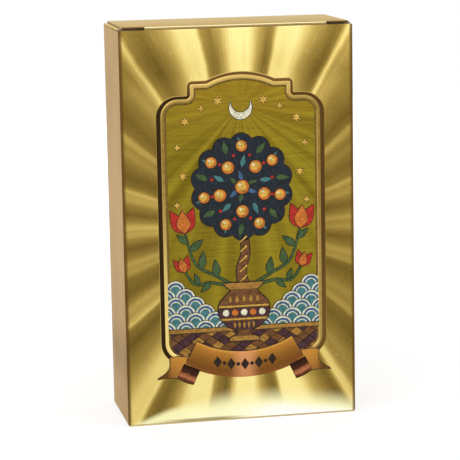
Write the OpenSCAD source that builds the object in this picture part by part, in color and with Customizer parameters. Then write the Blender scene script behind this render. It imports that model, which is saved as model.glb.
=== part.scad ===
// Foil-laminated tuck carton that holds a tarot deck and its guide booklet.
// The front faces -Y, the lid is creased to the top of the back panel, and +Z is up.
// Lengths are in millimetres and angles in degrees. The carton stands on z = 0.

/* [Cards] */
// Width of a card
card_w = 70; // [60:0.5:80]
// Height of a card
card_h = 120; // [100:0.5:140]
// Thickness of a card
card_t = 0.3; // [0.22:0.01:0.4]
// Air between neighbouring cards
card_gap = 0.01; // [0.01:0.005:0.03]
// Corner radius of a card
card_corner_r = 3.5; // [1:0.25:6]
// How far a card lies off the middle of the pack at most
card_sway = 0.2; // [0:0.05:0.6]

/* [Booklet] */
// How much the booklet is narrower than a card on each side
booklet_inset = 3; // [1:0.25:8]
// How much the booklet is shorter than a card
booklet_short = 14; // [2:0.5:30]
// Thickness of the block of inner pages
pages_t = 1.2; // [0.6:0.1:2]
// How far the pages end short of the cover's free edge
pages_inset = 0.5; // [0.2:0.1:2]
// Thickness of the cover sheet
cover_t = 0.2; // [0.1:0.05:0.4]
// Radius of the staple wire
staple_r = 0.25; // [0.15:0.05:0.4]
// Length of a staple along the spine
staple_len = 12; // [6:0.5:16]
// How far a staple's legs reach into the spine
staple_leg = 2.5; // [1:0.25:4]
// Distance of each staple's middle from the booklet's nearer end
staple_end_gap = 26; // [12:0.5:38]

/* [Carton] */
// Thickness of the board
board_t = 0.5; // [0.35:0.05:0.7]
// Glue film or air between two layers
layer_gap = 0.05; // [0.02:0.01:0.1]
// Air between the cards and each side panel
side_play = 1.25; // [0.8:0.05:3]
// Air between the tops of the cards and the dust flaps
head_room = 2.25; // [1:0.05:5]
// Air between the tuck flap's tip and the pack
pack_front_gap = 0.8; // [0.3:0.05:3]
// Air between the pack and the booklet
pack_back_gap = 0.2; // [0.1:0.05:1]
// Air between the booklet and the glue flap
booklet_back_gap = 0.1; // [0.05:0.05:0.5]
// How far the front panel's top edge lies below the lid's top
front_drop = 1; // [0.8:0.05:1.5]
// Width of the glue flap
glue_w = 12; // [8:0.5:20]
// How far the glue flap's ends are cut back at its free edge
glue_taper = 4; // [1:0.5:8]
// How far the glue flap stops short of the side panel's ends
glue_end_gap = 3; // [1:0.5:8]
// How far the bottom outer flap stops short of the carton's sides
bottom_outer_gap = 0.3; // [0.1:0.05:1]
// How far the bottom inner flap stops short of the back panel
bottom_inner_gap = 6; // [1:0.5:12]
// Gap between the free ends of the two bottom dust flaps
bottom_dust_gap = 22; // [10:0.5:40]
// How far a bottom dust flap's corners are cut back at its free end
bottom_dust_taper = 4; // [1:0.5:8]

/* [Lid] */
// How far the lid stops short of the carton's sides
lid_side_gap = 1.2; // [0.8:0.05:2]
// Air between the lid and the dust flaps under it
lid_gap = 0.1; // [0.05:0.01:0.3]
// How far the bead of a crease stands out of the board
crease_swell = 0.03; // [0.01:0.01:0.1]
// Air between a crease's bead and the edge of the next board
crease_gap = 0.15; // [0.12:0.01:0.3]
// Length of the tuck flap
tuck_len = 11; // [9:0.5:14]
// Lean of the tuck flap away from the front panel
tuck_lean = 15; // [10:0.5:20]
// Air between the front panel and the board of the tuck flap's crease
tuck_gap = 0.15; // [0.1:0.05:0.5]
// Length of the slit at each end of the tuck flap's crease
slit_len = 7; // [3:0.5:12]
// Height of the slit
slit_h = 1; // [0.5:0.1:2]
// Radius of the tuck flap's lower corners
tuck_corner_r = 6; // [2:0.5:7]

/* [Top dust flaps] */
// Reach of a dust flap from its crease
dust_len = 15; // [8:0.5:17]
// How far a dust flap's back corner is cut back at its free end
dust_back_taper = 15.5; // [8:0.5:17]
// How far a dust flap's front corner is cut back at its free end
dust_front_taper = 1.5; // [0.5:0.1:3]
// Distance of a dust flap from the lid's crease
dust_back_gap = 2; // [1.2:0.1:4]
// Distance of a dust flap from the tuck flap's crease
dust_front_gap = 1.5; // [1.2:0.1:3]

/* [Front frame] */
// Sideways place of the ornament from the panel's middle
ornament_shift = 0.8; // [-2:0.1:2]
// Margin between the panel's sides and the frame
frame_side_margin = 10.95; // [9:0.05:14]
// Margin between the carton's bottom and the frame
frame_bottom_margin = 20.1; // [14:0.1:30]
// Margin between the panel's top edge and the frame's crown
frame_top_margin = 14; // [6:0.1:24]
// Width of the frame's ridge
ridge_w = 2.1; // [1.2:0.1:3]
// Width of the ridge's crest
crest_w = 1; // [0.4:0.1:1.1]
// Height of the ridge's foot
ridge_foot_h = 0.2; // [0.1:0.05:0.3]
// Height of the ridge's crest
crest_h = 0.4; // [0.35:0.05:0.6]
// Radius of the frame's bottom corners
frame_corner_r = 5.9; // [4:0.1:9]
// Radius of the frame's shoulders
shoulder_r = 6; // [4:0.1:8]
// Radius of the fillet between shoulder and step
step_fillet_r = 0.8; // [0.3:0.1:1.2]
// How far the step lies in from the frame's side
step_inset = 9.5; // [9.3:0.1:12]
// Height of the step
step_h = 4.5; // [2:0.1:8]
// How far the arch's foot lies in from the step
arch_inset = 5.6; // [3:0.1:7]
// Rise of the arch
arch_rise = 2.5; // [1:0.1:5]

/* [Ribbon] */
// Radius of the ribbon's lower edge
ribbon_r = 39.7; // [34:0.1:60]
// Height of the ribbon's band
ribbon_h = 8.6; // [5:0.1:12]
// How far the band's lower corners lie in from the frame's side
ribbon_inset = 6.3; // [4:0.1:9]
// How far the middle of the ribbon hangs below the frame
ribbon_drop = 6.3; // [2:0.1:9]
// Relief of the band
band_relief = 0.45; // [0.35:0.05:0.6]
// Relief of the tails
tail_relief = 0.3; // [0.25:0.05:0.34]
// Relief of the folds between band and tails
fold_relief = 0.15; // [0.1:0.05:0.2]
// Width of a fold along the band's lower edge
fold_w = 5; // [3:0.1:7]
// How far a fold slants outwards
fold_slant = 2.2; // [1:0.1:3]
// How far a fold and the tip of a tail hang below the band's corner
fold_drop = 4.2; // [2:0.1:6]
// Rise of a tail's upper edge above the band's corner
tail_rise = 2.5; // [1:0.1:4]
// Distance of a tail's notch from the band's corner
notch_w = 4.5; // [3.2:0.1:6]
// How far the notch lies below the band's corner
notch_drop = 1; // [0.5:0.1:1.8]
// Distance of a tail's tip from the band's corner
tip_w = 8.5; // [7:0.1:10]

/* [Hidden] */
// Reliefs start this deep in the panel, and cuts run this far past what they cut
overrun = 0.2;
// Straight pieces in each rounded corner of an outline
arc_steps = 8;
// Turn from one card to the next in the rule that spreads the pack
sway_turn = 137.5;
$fn = 64;

// The pack: a trump series, then four suits of number cards and court cards
MAJORS = 22;
SUITS = ["wands", "cups", "swords", "pentacles"];
NUMBER_CARDS = 10;
COURTS = ["page", "knight", "queen", "king"];
suit_cards = NUMBER_CARDS + len(COURTS);
pack_cards = MAJORS + len(SUITS) * suit_cards;
function major_name(i) = str("card_major_", i < 10 ? "0" : "", i);
function court_name(suit, c) = str("card_", SUITS[suit], "_", COURTS[c]);
function numbers_name(suit) = str("cards_", SUITS[suit], "_ace_to_ten");

// Heights, from the ground up
panel_z = board_t + layer_gap;
inner_flap_z = panel_z;
bottom_dust_z = inner_flap_z + board_t + layer_gap;
floor_z = bottom_dust_z + board_t;
card_z = floor_z + layer_gap;
dust_z = card_z + card_h + head_room;
lid_z = dust_z + board_t + lid_gap;
bead_r = board_t / 2 + crease_swell;
dust_axis_z = dust_z + board_t / 2;
lid_axis_z = lid_z + board_t / 2;
front_top = lid_z + board_t - front_drop;
back_top = lid_axis_z - bead_r - crease_gap;
side_top = dust_axis_z - bead_r - crease_gap;

// Depths, measured inwards from the front panel's face
tuck_in = board_t + tuck_gap + board_t / 2;
pack_in = tuck_in + tuck_len * sin(tuck_lean) + board_t / 2 * cos(tuck_lean) + pack_front_gap;
card_pitch = card_t + card_gap;
booklet_in = pack_in + pack_cards * card_pitch - card_gap + pack_back_gap;
booklet_t = pages_t + 2 * (cover_t + layer_gap);
glue_in = booklet_in + booklet_t + booklet_back_gap;
carton_d = glue_in + board_t + layer_gap + board_t;

// Places along Y: the relief on the front counts in the object's depth
front_relief = max(crest_h, band_relief);
front_y = (front_relief - carton_d) / 2;
back_y = front_y + carton_d;
inner_front_y = front_y + board_t;
inner_back_y = back_y - board_t;
tuck_axis_y = front_y + tuck_in;
lid_axis_y = back_y - bead_r;

// Widths
inner_w = card_w + 2 * side_play;
carton_w = inner_w + 2 * board_t;
lid_w = carton_w - 2 * lid_side_gap;
dust_axis_x = carton_w / 2 - bead_r;
booklet_w = card_w - 2 * booklet_inset;
booklet_h = card_h - booklet_short;

// Frame on the front panel, about the ornament's own middle line
frame_half_w = carton_w / 2 - frame_side_margin;
crown_z = front_top - frame_top_margin;
ledge_z = crown_z - arch_rise;
shoulder_z = ledge_z - step_h;
step_x = frame_half_w - step_inset;
arch_half_w = step_x - arch_inset;
arch_r = (pow(arch_half_w, 2) + pow(arch_rise, 2)) / (2 * arch_rise);
arch_z = crown_z - arch_r;

// Ribbon under the frame
ribbon_half_w = frame_half_w - ribbon_inset;
ribbon_angle = asin(ribbon_half_w / ribbon_r);
ribbon_low_z = frame_bottom_margin - ribbon_drop;
ribbon_z = ribbon_low_z + ribbon_r;
band_corner_z = ribbon_z - ribbon_r * cos(ribbon_angle);

CARTON_NODES = ["front_panel", "back_panel", "left_side_panel", "right_side_panel", "glue_flap",
    "bottom_outer_flap", "bottom_inner_flap", "bottom_dust_flap_left", "bottom_dust_flap_right",
    "lid_panel", "tuck_flap", "top_dust_flap_left", "top_dust_flap_right"];
BOOKLET_NODES = ["booklet_cover", "booklet_pages", "booklet_staples"];
MAJOR_NODES = [for (i = [0:MAJORS - 1]) major_name(i)];
COURT_NODES = [for (s = [0:len(SUITS) - 1]) for (c = [0:len(COURTS) - 1]) court_name(s, c)];
NUMBER_NODES = [for (s = [0:len(SUITS) - 1]) numbers_name(s)];

// Points along an arc
function arc(x, y, r, from, to) = [for (i = [0:arc_steps])
    let (a = from + (to - from) * i / arc_steps) [x + r * cos(a), y + r * sin(a)]];

// A half outline and its mirror image, as one closed outline
function mirrored(half) = concat(half, [for (i = [len(half) - 1:-1:0]) [-half[i][0], half[i][1]]]);

// Right half of the bracket frame's outline, moved inwards by inset
function frame_half(inset) = let (
    r = arch_r - inset,
    foot = asin((ledge_z - inset - arch_z) / r),
    arch = arc(0, arch_z, r, foot, 90)
) concat(
    arc(frame_half_w - frame_corner_r, frame_bottom_margin + frame_corner_r, frame_corner_r - inset, -90, 0),
    arc(frame_half_w - shoulder_r, shoulder_z - shoulder_r, shoulder_r - inset, 0, 90),
    arc(step_x + step_fillet_r, shoulder_z + step_fillet_r, step_fillet_r + inset, 270, 180),
    [[step_x - inset, ledge_z - inset]],
    [for (i = [0:arc_steps - 1]) arch[i]]
);

// Extrudes an XY outline upwards from z
module upright(z, h) {
    translate([0, 0, z]) linear_extrude(h) children();
}

// Extrudes an XZ outline towards the front, from y_back to y_front
module facing(y_back, y_front) {
    translate([0, y_back, 0]) rotate([90, 0, 0]) linear_extrude(y_back - y_front) children();
}

// Extrudes a YZ outline along X, centred
module along_x(w) {
    translate([-w / 2, 0, 0]) rotate([90, 0, 90]) linear_extrude(w) children();
}

// Section of a board whose two outer corners are creased round: its outer face lies on y = 0
module creased_section(len) {
    flat = len - 2 * board_t;
    translate([-flat / 2, 0]) square([flat, board_t]);
    for (side = [0, 1]) mirror([side, 0]) translate([flat / 2, board_t]) intersection() {
        circle(r = board_t);
        translate([0, -board_t]) square(board_t);
    }
}

// Rectangle with round corners, standing on y = 0 and centred in x
module rounded_sheet(w, h, r) {
    translate([r - w / 2, 0]) square([w - 2 * r, h]);
    for (side = [0, 1]) mirror([side, 0]) {
        translate([w / 2 - r, r]) square([r, h - 2 * r]);
        for (y = [r, h - r]) translate([w / 2 - r, y]) intersection() {
            circle(r = r);
            translate([0, y > r ? 0 : -r]) square(r);
        }
    }
}

// Board from one layer's height: a flap with its hinge edge at x = 0 and its free edge at x = reach
module tapered_flap(z, reach, y0, y1, cut0, cut1) {
    upright(z, board_t) polygon([[0, y0], [reach, y0 + cut0], [reach, y1 - cut1], [0, y1]]);
}

// Relief on the front panel's face
module relief(h) {
    translate([ornament_shift, 0, 0]) facing(front_y + overrun, front_y - h) children();
}

// Ring of the bracket frame between two insets
module frame_ring(outer, inner) {
    difference() {
        polygon(mirrored(frame_half(outer)));
        polygon(mirrored(frame_half(inner)));
    }
}

// Curved band of the ribbon
module ribbon_band() {
    reach = (ribbon_r + overrun) / cos(ribbon_angle);
    intersection() {
        translate([0, ribbon_z]) difference() {
            circle(r = ribbon_r, $fn = 180);
            circle(r = ribbon_r - ribbon_h, $fn = 180);
        }
        translate([0, ribbon_z]) polygon([[0, 0],
            [-reach * sin(ribbon_angle), -reach * cos(ribbon_angle)],
            [reach * sin(ribbon_angle), -reach * cos(ribbon_angle)]]);
    }
}

// Right tail of the ribbon, with a swallow-tail end
module ribbon_tail() {
    translate([ribbon_half_w, band_corner_z]) polygon([[-fold_slant, tail_rise],
        [notch_w, tail_rise], [notch_w, -notch_drop], [tip_w, -fold_drop], [fold_slant, -fold_drop],
        [-fold_slant, -notch_drop]]);
}

// Right fold, where the band turns back into the tail
module ribbon_fold() {
    fold_x = ribbon_half_w - fold_w;
    fold_z = ribbon_z - sqrt(pow(ribbon_r, 2) - pow(fold_x, 2));
    polygon([[ribbon_half_w, band_corner_z + overrun], [fold_x, fold_z + overrun],
        [fold_x + fold_slant, fold_z - fold_drop], [ribbon_half_w + fold_slant, band_corner_z - fold_drop]]);
}

module front_panel() {
    color("goldenrod") union() {
        upright(panel_z, front_top - panel_z) translate([0, front_y]) creased_section(carton_w);
        relief(ridge_foot_h) frame_ring(0, ridge_w);
        relief(crest_h) frame_ring((ridge_w - crest_w) / 2, (ridge_w + crest_w) / 2);
        relief(band_relief) ribbon_band();
        for (side = [0, 1]) {
            relief(tail_relief) mirror([side, 0]) ribbon_tail();
            relief(fold_relief) mirror([side, 0]) ribbon_fold();
        }
    }
}

module back_panel() {
    color("goldenrod") upright(panel_z, back_top - panel_z)
        translate([0, back_y]) mirror([0, 1]) creased_section(carton_w);
}

module side_panel(side) {
    color("burlywood") mirror([side, 0, 0])
        upright(panel_z, side_top - panel_z)
            translate([inner_w / 2, inner_front_y + layer_gap])
                square([board_t, inner_back_y - inner_front_y - 2 * layer_gap]);
}

module glue_flap() {
    low = floor_z + glue_end_gap;
    high = side_top - glue_end_gap;
    color("burlywood") translate([layer_gap - inner_w / 2, 0, 0])
        facing(front_y + glue_in + board_t, front_y + glue_in)
            polygon([[0, low], [glue_w, low + glue_taper], [glue_w, high - glue_taper], [0, high]]);
}

module bottom_outer_flap() {
    color("goldenrod") along_x(carton_w - 2 * bottom_outer_gap)
        translate([(front_y + back_y) / 2, 0]) creased_section(carton_d);
}

module bottom_inner_flap() {
    w = inner_w - 2 * layer_gap;
    depth = inner_back_y - inner_front_y - layer_gap - bottom_inner_gap;
    color("wheat") translate([-w / 2, inner_front_y + layer_gap, inner_flap_z]) cube([w, depth, board_t]);
}

module bottom_dust_flap(side) {
    reach = (inner_w - bottom_dust_gap) / 2 - layer_gap;
    color("wheat") mirror([side, 0, 0]) translate([layer_gap - inner_w / 2, 0, 0])
        tapered_flap(bottom_dust_z, reach, inner_front_y + layer_gap, inner_back_y - layer_gap,
            bottom_dust_taper, bottom_dust_taper);
}

module lid_panel() {
    color("goldenrod") along_x(lid_w) {
        translate([tuck_axis_y, lid_z]) square([lid_axis_y - tuck_axis_y, board_t]);
        for (y = [tuck_axis_y, lid_axis_y]) translate([y, lid_axis_z]) circle(r = bead_r);
    }
}

// The tuck flap hangs from the lid's front crease. The slits part its shoulders from the lid.
module tuck_flap() {
    neck_z = -bead_r - crease_gap;
    shoulder = neck_z - slit_h;
    half = concat(
        arc(lid_w / 2 - tuck_corner_r, tuck_corner_r - tuck_len, tuck_corner_r, -90, 0),
        [[lid_w / 2, shoulder], [lid_w / 2 - slit_len, shoulder], [lid_w / 2 - slit_len, neck_z]]
    );
    color("goldenrod") translate([0, tuck_axis_y, lid_axis_z]) rotate([tuck_lean, 0, 0])
        facing(board_t / 2, -board_t / 2) polygon(mirrored(half));
}

module top_dust_flap(side) {
    y0 = tuck_axis_y + dust_front_gap;
    y1 = lid_axis_y - dust_back_gap;
    color("burlywood") mirror([side, 0, 0]) translate([-dust_axis_x, 0, 0]) union() {
        tapered_flap(dust_z, dust_len, y0, y1, dust_front_taper, dust_back_taper);
        translate([0, y1, dust_axis_z]) rotate([90, 0, 0]) cylinder(r = bead_r, h = y1 - y0);
    }
}

// Section of a folded sheet round a block of pages: its spine is at the left
module folded_section(r, w) {
    translate([r, -r]) square([w - r, 2 * r]);
    translate([r, 0]) intersection() {
        circle(r = r);
        translate([-r, -r]) square([r, 2 * r]);
    }
}

module booklet_cover() {
    outer_r = booklet_t / 2;
    color("gold") upright(card_z, booklet_h)
        translate([-booklet_w / 2, front_y + booklet_in + outer_r]) difference() {
            folded_section(outer_r, booklet_w);
            translate([cover_t, 0]) folded_section(outer_r - cover_t, booklet_w);
        }
}

module booklet_pages() {
    gap = cover_t + layer_gap;
    color("ivory") upright(card_z, booklet_h)
        translate([gap - booklet_w / 2, front_y + booklet_in + booklet_t / 2])
            folded_section(pages_t / 2, booklet_w - gap - pages_inset);
}

module booklet_staples() {
    leg_z = staple_len / 2 - staple_r;
    color("silver") for (z = [staple_end_gap, booklet_h - staple_end_gap])
        translate([-booklet_w / 2, front_y + booklet_in + booklet_t / 2, card_z + z]) {
            translate([0, 0, -staple_len / 2]) cylinder(r = staple_r, h = staple_len);
            for (side = [-1, 1]) translate([0, 0, side * leg_z])
                rotate([0, 90, 0]) cylinder(r = staple_r, h = staple_leg);
        }
}

// One card at its place in the pack, counted from the front
module card(place) {
    y = front_y + pack_in + place * card_pitch;
    color("gold") translate([card_sway * sin(place * sway_turn), 0, card_z])
        facing(y + card_t, y) rounded_sheet(card_w, card_h, card_corner_r);
}

function suit_place(suit) = MAJORS + suit * suit_cards;

module major_card(i) {
    card(i);
}

module court_card(suit, c) {
    card(suit_place(suit) + NUMBER_CARDS + c);
}

module number_cards(suit) {
    for (i = [0:NUMBER_CARDS - 1]) card(suit_place(suit) + i);
}

front_panel();
back_panel();
side_panel(1);  // left_side_panel
side_panel(0);  // right_side_panel
glue_flap();
bottom_outer_flap();
bottom_inner_flap();
bottom_dust_flap(0);  // bottom_dust_flap_left
bottom_dust_flap(1);  // bottom_dust_flap_right
lid_panel();
tuck_flap();
top_dust_flap(0);  // top_dust_flap_left
top_dust_flap(1);  // top_dust_flap_right
booklet_cover();
booklet_pages();
booklet_staples();
for (i = [0:MAJORS - 1])
    major_card(i);
for (s = [0:len(SUITS) - 1], c = [0:len(COURTS) - 1])
    court_card(s, c);
for (s = [0:len(SUITS) - 1])
    number_cards(s);
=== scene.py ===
"""Looks of a tarot deck in its foil carton: boards, framed picture, ribbon, cards and booklet.

Lengths are in millimetres and angles in degrees. A finish is the number of a material slot on its piece.
"""

import math

import bmesh
import bpy
from mathutils import Matrix, Vector

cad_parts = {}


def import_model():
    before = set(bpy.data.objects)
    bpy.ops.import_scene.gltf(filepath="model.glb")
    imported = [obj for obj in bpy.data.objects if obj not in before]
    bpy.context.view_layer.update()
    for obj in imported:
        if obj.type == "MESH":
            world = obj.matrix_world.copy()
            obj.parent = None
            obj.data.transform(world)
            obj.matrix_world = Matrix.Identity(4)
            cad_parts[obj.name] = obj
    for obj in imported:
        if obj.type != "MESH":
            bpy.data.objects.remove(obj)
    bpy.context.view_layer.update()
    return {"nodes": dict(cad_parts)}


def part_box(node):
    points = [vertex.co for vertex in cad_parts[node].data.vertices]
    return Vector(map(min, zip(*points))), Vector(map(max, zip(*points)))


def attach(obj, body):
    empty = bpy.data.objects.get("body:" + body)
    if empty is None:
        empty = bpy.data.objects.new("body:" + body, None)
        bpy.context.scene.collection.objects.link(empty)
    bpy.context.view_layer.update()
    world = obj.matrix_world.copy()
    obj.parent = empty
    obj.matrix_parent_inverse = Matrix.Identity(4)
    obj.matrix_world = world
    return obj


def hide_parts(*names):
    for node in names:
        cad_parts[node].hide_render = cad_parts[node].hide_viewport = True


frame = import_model()

MM = 0.001
SHARP_ANGLE = math.radians(38)


def corners(node):
    """Lowest and highest corner of a CAD node."""
    low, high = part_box(node)
    return low / MM, high / MM


# Boards, as the frame has them
FRONT_LOW, FRONT_HIGH = corners("front_panel")
BACK_LOW, BACK_HIGH = corners("back_panel")
SIDE_LOW, SIDE_HIGH = corners("right_side_panel")
BOTTOM_LOW, BOTTOM_HIGH = corners("bottom_outer_flap")
LID_LOW, LID_HIGH = corners("lid_panel")
DUST_LOW, DUST_HIGH = corners("top_dust_flap_right")
CARD_LOW, CARD_HIGH = corners("card_major_00")
BOOK_LOW, BOOK_HIGH = corners("booklet_cover")
BOARD_T = SIDE_HIGH.x - SIDE_LOW.x
FACE_Y = FRONT_HIGH.y - BOARD_T
HALF_W = FRONT_HIGH.x
BEAD_R = (LID_HIGH.z - LID_LOW.z) / 2
LID_Z = (LID_LOW.z + LID_HIGH.z) / 2
EDGE_BEVEL = 0.06
CREASE_STEPS = 5
BEAD_STEPS = 8
GROOVE_IN = 0.45
GROOVE_W = 0.35
GROOVE_DEPTH = 0.05

# Tuck flap and dust flaps
TUCK_LEN = 11
TUCK_LEAN = 15
TUCK_CORNER_R = 6
SLIT_LEN = 7
SLIT_H = 1
CREASE_GAP = 0.15
DUST_BACK_TAPER = 15.5
DUST_FRONT_TAPER = 1.5

# Bracket frame on the front, about the ornament's own middle line
ORNAMENT_X = 0.8
FRAME_HALF_W = 25.8
FRAME_LOW_Z = 20.1
FRAME_CORNER_R = 5.9
SHOULDER_R = 6
STEP_FILLET_R = 0.8
STEP_CORNER_R = 1.1
CROWN_Z = 110
LEDGE_Z = 107.5
SHOULDER_Z = 103
STEP_X = 16.3
ARCH_HALF_W = 10.7
ARCH_RISE = CROWN_Z - LEDGE_Z
ARCH_R = (ARCH_HALF_W ** 2 + ARCH_RISE ** 2) / (2 * ARCH_RISE)
ARCH_Z = CROWN_Z - ARCH_R
SKY_RAYS_Z = CROWN_Z - 10

# Ribbon under the frame
RIBBON_R = 39.7
RIBBON_H = 8.6
RIBBON_HALF_W = 19.5
RIBBON_Z = 53.5
RIBBON_ANGLE = math.degrees(math.asin(RIBBON_HALF_W / RIBBON_R))
BAND_CORNER_Z = RIBBON_Z - RIBBON_R * math.cos(math.radians(RIBBON_ANGLE))
FOLD_W = 5
FOLD_SLANT = 2.2
FOLD_DROP = 4.2
TAIL_RISE = 2.5
NOTCH_W = 4.5
NOTCH_DROP = 1
TIP_W = 8.5
TAIL_RELIEF = 0.28
ROOT = -0.08

# The rays' light and dark bands are painted reflection in the foil's colour
# Sunburst of the foil. Each ray has its darkest angle, clockwise from straight up, and then two
# crests, each with its angle and its shine from 0 to 1. A ray's edge nearer to the vertical is sharper
SUN_X = 0.85
SUN_Z = 62
RAYS = [
    (8.3, 11.2, 0.9, 17, 0.95), (27, 29.6, 0.88, 32, 0.46), (45, 49.5, 0.42, 56.5, 0.2),
    (62.5, 69, 0.36, 74.5, 0.29), (81, 87.5, 0.35, 93, 0.3), (98.5, 106, 0.35, 111, 0.33),
    (115, 124.5, 0.3, 130.6, 0.38), (136, 143, 0.3, 148.8, 0.95), (152, 161, 0.95, 167.5, 0.95),
    (170.5, 177, 0.95, 183.5, 0.95), (186.5, 192.5, 0.9, 199, 0.9), (205.8, 209.2, 0.8, 213, 0.74),
    (225, 230.5, 0.6, 236.5, 0.4), (241.5, 250, 0.36, 254.5, 0.38), (261.5, 268, 0.42, 272, 0.52),
    (278.5, 286, 0.42, 290, 0.53), (296, 304, 0.31, 309, 0.47), (314.5, 323, 0.36, 327.8, 0.76),
    (333, 342.4, 0.9, 347.8, 0.95), (351, 357, 0.95, 363.2, 1.0),
]
SIDE_DARK = 0.03
TOP_DARK = 0.2
FOOT_DARK = 0.08
UPRIGHT_RAY = 0.8
CREST_DIP = 0.1
SHARP_LEAN = 0.3
SHARP_SHARE = 0.24
SOFT_SHARE = 0.42
SPOKES = 210.0
DULL_BAND_Z = (104, 111)
BRIGHT_TOP_Z = (112, 123)
# Height of the painted floor reflection at the foot, and of the dark line under it
FOOT_REFLECTION_Z = 8.0
FOOT_LINE_Z = (1.0, 1.7)

# Satin sides, print and cards. The rates of fine lines are in radians a millimetre
# Painted dark reflection on the satin sides at a height, and painted light toward their tops
DARK_REFLECTION_Z = 21
DARK_REFLECTION_REACH = 12
PAINTED_LIGHT_TOP_Z = (84, 122)
HATCH_RATE = 14.0
LATTICE_RATE = 2.2
SOFT_EDGE = 0.2

# Camera as the photograph was taken: turns about Z, X and Y, and the carton's place in front of it
PHOTO_SIZE = 460
PHOTO_FOCUS = 2049.6
SENSOR_W = 36
CAMERA_YAW = 11.192
CAMERA_PITCH = 9.785
CAMERA_ROLL = -1.038
CAMERA_OFFSET = (4.238, 650.217, -59.999)


# Outlines

def arc(x, z, r, start, end, steps=10):
    """Points along an arc."""
    points = []
    for i in range(steps + 1):
        a = math.radians(start + (end - start) * i / steps)
        points.append((x + r * math.cos(a), z + r * math.sin(a)))
    return points


def circle(x, z, r, steps=24):
    """A closed circle."""
    return arc(x, z, r, 0, 360, steps)[:-1]


def mirrored(half):
    """A right half outline and its mirror image, as one closed outline."""
    return half + [(-x, z) for x, z in reversed(half) if x > EDGE_BEVEL]


def flipped(outline, side):
    """An outline on the right side (1) or its mirror image on the left (-1)."""
    return [(side * x, z) for x, z in outline]


def curve(points, steps=6):
    """A smooth open line through the points given."""
    line = []
    padded = [points[0]] + list(points) + [points[-1]]
    for run in zip(padded, padded[1:], padded[2:], padded[3:]):
        for i in range(steps):
            line.append(tuple(spline(i / steps, *parts) for parts in zip(*run)))
    return line + [tuple(points[-1])]


def spline(t, a, b, c, d):
    """A place on the way from b to c, at t from 0 to 1, with a before them and d after."""
    square = t * t * (a - 2.5 * b + 2 * c - d / 2)
    return b + t * (c - a) / 2 + square + t ** 3 * (1.5 * (b - c) + (d - a) / 2)


def grown(outline, distance):
    """A closed outline moved outwards by a distance, or inwards where it is negative."""
    after = outline[1:] + outline[:1]
    before = outline[-1:] + outline[:-1]
    area = sum(x0 * z1 - x1 * z0 for (x0, z0), (x1, z1) in zip(outline, after))
    reach = math.copysign(distance, area * distance)
    points = []
    for (x0, z0), (x, z), (x1, z1) in zip(before, outline, after):
        length = math.hypot(x1 - x0, z1 - z0)
        points.append((x + reach * (z1 - z0) / length, z - reach * (x1 - x0) / length))
    return points


def clipped(outline, x_limit, z_low, z_high):
    """The part of a round or straight-sided outline within a window about the middle line."""
    for side, axis, limit in ((1, 0, x_limit), (-1, 0, x_limit), (1, 1, z_high), (-1, 1, -z_low)):
        kept = []
        for p, q in zip(outline, outline[1:] + outline[:1]):
            over_p = side * p[axis] - limit
            over_q = side * q[axis] - limit
            if over_p <= 0:
                kept.append(p)
            if over_p * over_q < 0:
                t = over_p / (over_p - over_q)
                kept.append((p[0] + t * (q[0] - p[0]), p[1] + t * (q[1] - p[1])))
        outline = kept
    return outline


def frame_outline(inset):
    """The bracket frame's outline, moved inwards by inset."""
    r = ARCH_R - inset
    foot = math.degrees(math.asin((LEDGE_Z - inset - ARCH_Z) / r))
    half = arc(FRAME_HALF_W - FRAME_CORNER_R, FRAME_LOW_Z + FRAME_CORNER_R, FRAME_CORNER_R - inset, -90, 0)
    half += arc(FRAME_HALF_W - SHOULDER_R, SHOULDER_Z - SHOULDER_R, SHOULDER_R - inset, 0, 90)
    half += arc(STEP_X + STEP_FILLET_R, SHOULDER_Z + STEP_FILLET_R, STEP_FILLET_R + inset, 270, 180)
    round_r = max(STEP_CORNER_R - inset, EDGE_BEVEL)
    half += arc(STEP_X - inset - round_r, LEDGE_Z - inset - round_r, round_r, 0, 90, 4)
    half += arc(0, ARCH_Z, r, foot, 90)
    return mirrored(half)


# Mesh pieces

def in_scene(name, data):
    """A new object in the scene."""
    thing = bpy.data.objects.new(name, data)
    bpy.context.scene.collection.objects.link(thing)
    return thing


class Shape:
    """Gathers closed forms, whose faces each have a finish, into one mesh piece."""

    def __init__(self):
        self.points = []
        self.faces = []
        self.finishes = []

    def rings(self, rings, finish, ends=None):
        """Skins a run of closed rings. finish is a number, or gives one for a strip and column.
        ends holds the finishes of the two caps, and without it the last ring joins the first."""
        count = len(rings[0])
        first = len(self.points)
        for ring in rings:
            self.points.extend(ring)
        for strip in range(len(rings) - (1 if ends else 0)):
            a = first + strip * count
            b = first + (strip + 1) % len(rings) * count
            for i in range(count):
                j = (i + 1) % count
                self.faces.append((a + i, a + j, b + j, b + i))
                self.finishes.append(finish(strip, i) if callable(finish) else finish)
        if ends:
            for start, cap in zip((first, first + (len(rings) - 1) * count), ends):
                self.faces.append(tuple(range(start, start + count)))
                self.finishes.append(cap)

    def piece(self, name, materials, body, slot, *replaced):
        """Makes the mesh, with its faces turned outwards, and lets it ride on a body."""
        mesh = bpy.data.meshes.new(name)
        mesh.from_pydata([Vector(p) * MM for p in self.points], [], self.faces)
        for material in materials:
            mesh.materials.append(material)
        mesh.polygons.foreach_set("material_index", self.finishes)
        mesh.polygons.foreach_set("use_smooth", [True] * len(self.faces))
        work = bmesh.new()
        work.from_mesh(mesh)
        bmesh.ops.recalc_face_normals(work, faces=work.faces)
        work.to_mesh(mesh)
        work.free()
        mesh.set_sharp_from_angle(angle=SHARP_ANGLE)
        piece = in_scene(name, mesh)
        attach(piece, body)
        if replaced:
            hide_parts(*replaced)


def on_front(outline, height):
    """Points of an outline at a height above the front panel's face."""
    return [(x + ORNAMENT_X, FACE_Y - height, z) for x, z in outline]


def raised(shape, outline, height, finish, bevel=0.03):
    """A raised form on the front, rooted in the panel, with a small bevel round its top."""
    top = grown(outline, -bevel)
    rings = [on_front(outline, ROOT), on_front(outline, height - bevel), on_front(top, height)]
    shape.rings(rings, finish, ends=(finish, finish))


# Materials

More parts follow.
